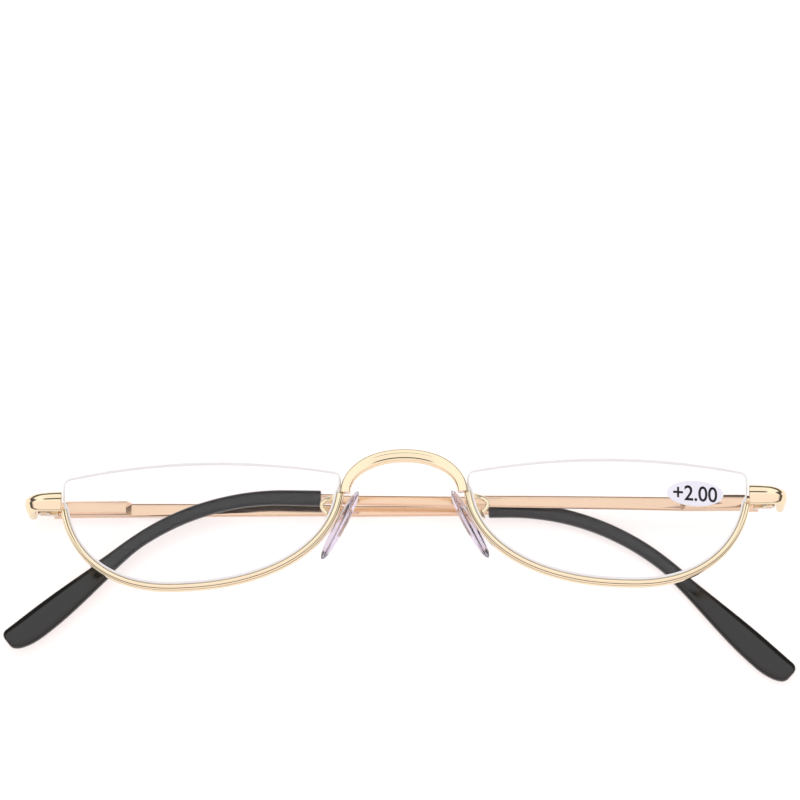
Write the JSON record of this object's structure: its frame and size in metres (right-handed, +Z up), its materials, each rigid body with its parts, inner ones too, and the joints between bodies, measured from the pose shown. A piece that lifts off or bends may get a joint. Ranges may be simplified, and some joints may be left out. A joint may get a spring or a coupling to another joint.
{
  "type": "half-moon reading glasses",
  "caption": "Half-moon reading glasses with a gold wire frame, clear lenses rimmed below, spring-hinged folding arms with black tips, and rocking clear nose pads.",
  "frame": {"origin": "middle of the bounding box, on the surface the folded glasses lie on", "axes": "+X to the viewer's right across the front, +Y towards the tops of the lenses, +Z up through the lens fronts"},
  "size_m": [0.1428, 0.04, 0.0159],
  "materials": {
    "frame_gold": "polished gold plate",
    "arm_gold": "polished gold plate, a little redder",
    "hinge_metal": "polished",
    "screw": "polished",
    "steel": "bright",
    "lens": "clear, polished",
    "nose_pad": "clear, soft",
    "tip": "polished",
    "sticker": "thin film"
  },
  "bodies": {
    "front": {"lens_left": "lens", "lens_right": "lens", "rim_left": "frame_gold", "rim_right": "frame_gold", "bridge": "frame_gold", "endpiece_left": "frame_gold", "endpiece_right": "frame_gold", "front_hinge_left": "hinge_metal", "front_hinge_right": "hinge_metal", "pad_arm_left": "frame_gold", "pad_arm_right": "frame_gold", "pad_box_left": "frame_gold", "pad_box_right": "frame_gold", "pad_screws": "screw", "power_sticker": "sticker"},
    "slide_left": {"hinge_slide_left": "steel", "hinge_screw_left": "screw", "hinge_spring_left": "steel"},
    "temple_left": {"spring_box_left": "arm_gold", "arm_left": "arm_gold", "tip_left": "tip"},
    "slide_right": {"hinge_slide_right": "steel", "hinge_screw_right": "screw", "hinge_spring_right": "steel"},
    "temple_right": {"spring_box_right": "arm_gold", "arm_right": "arm_gold", "tip_right": "tip"},
    "pad_left": {"nose_pad_left": "nose_pad", "pad_insert_left": "steel"},
    "pad_right": {"nose_pad_right": "nose_pad", "pad_insert_right": "steel"}
  },
  "joints": [
    {"name": "hinge_left", "type": "hinge", "parent": "front", "child": "slide_left", "pos_m": [-0.06459, 0.01196, 0.0032], "axis": [0, 1, 0], "range_deg": [0, 88]},
    {"name": "hinge_right", "type": "hinge", "parent": "front", "child": "slide_right", "pos_m": [0.06693, 0.01196, 0.00779], "axis": [0, -1, 0], "range_deg": [0, 90.5]},
    {"name": "spring_left", "type": "slide", "parent": "slide_left", "child": "temple_left", "axis": [1, 0, 0], "range_m": [0, 0.0012], "stiffness_N_per_m": 1200, "springref_m": -0.0005},
    {"name": "spring_right", "type": "slide", "parent": "slide_right", "child": "temple_right", "axis": [-0.9997, 0, -0.0262], "range_m": [0, 0.0012], "stiffness_N_per_m": 1200, "springref_m": -0.0005},
    {"name": "pad_rock_left", "type": "hinge", "parent": "front", "child": "pad_left", "pos_m": [-0.01207, 0.00912, 0.00691], "axis": [0.1816, -0.1098, 0.9772], "range_deg": [-6, 6]},
    {"name": "pad_rock_right", "type": "hinge", "parent": "front", "child": "pad_right", "pos_m": [0.01428, 0.00912, 0.00783], "axis": [-0.2493, -0.1098, 0.9622], "range_deg": [-6, 6]}
  ]
}
